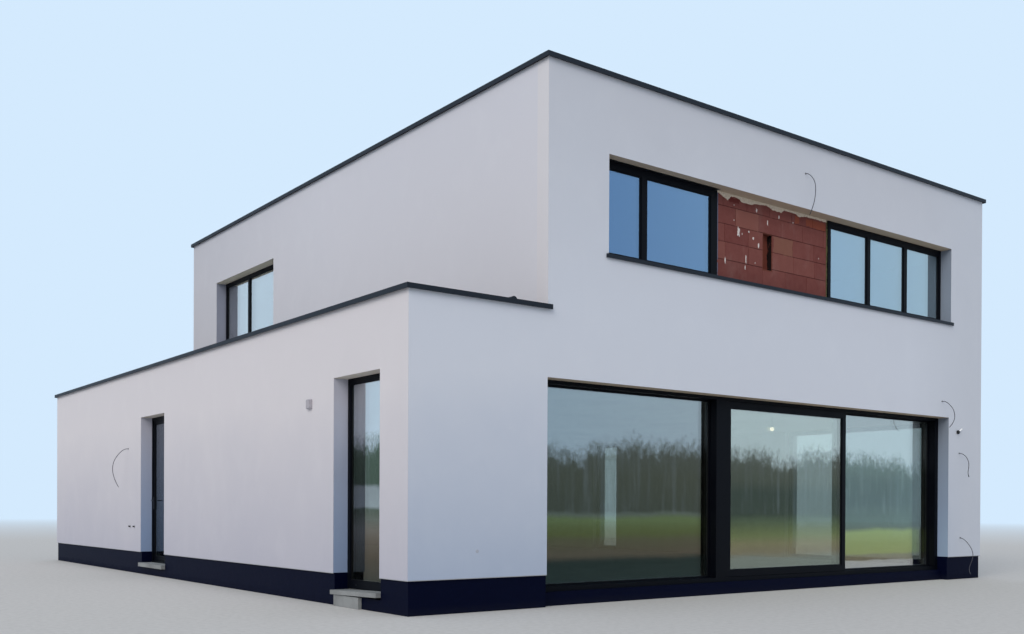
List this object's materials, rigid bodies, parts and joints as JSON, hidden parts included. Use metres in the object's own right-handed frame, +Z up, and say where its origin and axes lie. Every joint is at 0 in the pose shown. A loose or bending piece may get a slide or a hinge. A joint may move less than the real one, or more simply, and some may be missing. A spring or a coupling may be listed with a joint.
{
  "type": "detached house",
  "caption": "Modern detached house with a flat roof, white render, dark frames, a glazed front with a sliding leaf, a glazed side door and a lower strip along one side.",
  "frame": {"origin": "ground level, in the middle of the outline with its roof caps", "axes": "+Z up, +X to the right along the front, +Y from the front to the back"},
  "size_m": [12.0495, 14.9245, 6.62],
  "materials": {
    "concrete": "cast, matt",
    "parapet_block": "roofing felt turned up",
    "plinth_coating": "dark coating, matt",
    "roof_membrane": "welded membrane",
    "clay_block": "fired clay, matt",
    "render": "fine trowelled render",
    "anthracite_metal": "satin powder coat",
    "glazing": "clear insulating glass",
    "steel_fitting": "brushed",
    "grey_fitting": "moulded, matt",
    "cable_jacket": "smooth sheath"
  },
  "bodies": {
    "house": {"ground_slab": "concrete", "first_floor_slab": "concrete", "roof_slab": "concrete", "door_steps": "concrete", "main_parapet": "parapet_block", "wing_parapet": "parapet_block", "plinth": "plinth_coating", "roof_covering": "roof_membrane", "ground_blocks_front": "clay_block", "ground_blocks_left": "clay_block", "ground_blocks_right": "clay_block", "ground_blocks_back": "clay_block", "upper_blocks_front": "clay_block", "upper_blocks_left": "clay_block", "upper_blocks_right": "clay_block", "upper_blocks_back": "clay_block", "front_render_beside": "render", "front_render_over": "render", "left_render_beside": "render", "left_render_over": "render", "left_render_upper": "render", "right_render": "render", "back_render_ground": "render", "back_render_upper": "render", "main_cap": "anthracite_metal", "wing_cap": "anthracite_metal", "window_sills": "anthracite_metal", "front_glazing_frame": "anthracite_metal", "side_door_frame": "anthracite_metal", "left_side_frames": "anthracite_metal", "upper_front_frames": "anthracite_metal", "unseen_side_frames": "anthracite_metal", "front_fixed_glass": "glazing", "left_side_glass": "glazing", "upper_front_glass": "glazing", "unseen_side_glass": "glazing", "wall_box": "grey_fitting", "wall_sensor": "grey_fitting", "cable_sleeves": "cable_jacket", "front_cable_high": "cable_jacket", "front_cable_middle": "cable_jacket", "front_cable_low": "cable_jacket", "upper_cable": "cable_jacket", "side_cable": "cable_jacket"},
    "sliding_leaf": {"sliding_leaf": "anthracite_metal", "sliding_leaf_glass": "glazing"},
    "side_door": {"side_door_leaf": "anthracite_metal", "side_door_glass": "glazing", "side_door_plates": "steel_fitting"},
    "side_door_lever": {"side_door_lever": "steel_fitting"}
  },
  "joints": [
    {"name": "sliding_leaf_slide", "type": "slide", "parent": "house", "child": "sliding_leaf", "axis": [1, 0, 0], "range_m": [0, 2.48]},
    {"name": "side_door_hinge", "type": "hinge", "parent": "house", "child": "side_door", "pos_m": [-5.58, 0.4825, 1.45], "axis": [0, 0, -1], "range_deg": [0, 92]},
    {"name": "side_door_lever_turn", "type": "hinge", "parent": "side_door", "child": "side_door_lever", "pos_m": [-5.652, 1.551, 1.29], "axis": [1, 0, 0], "range_deg": [0, 40], "stiffness_Nm_per_rad": 1, "springref_deg": -28.65}
  ]
}
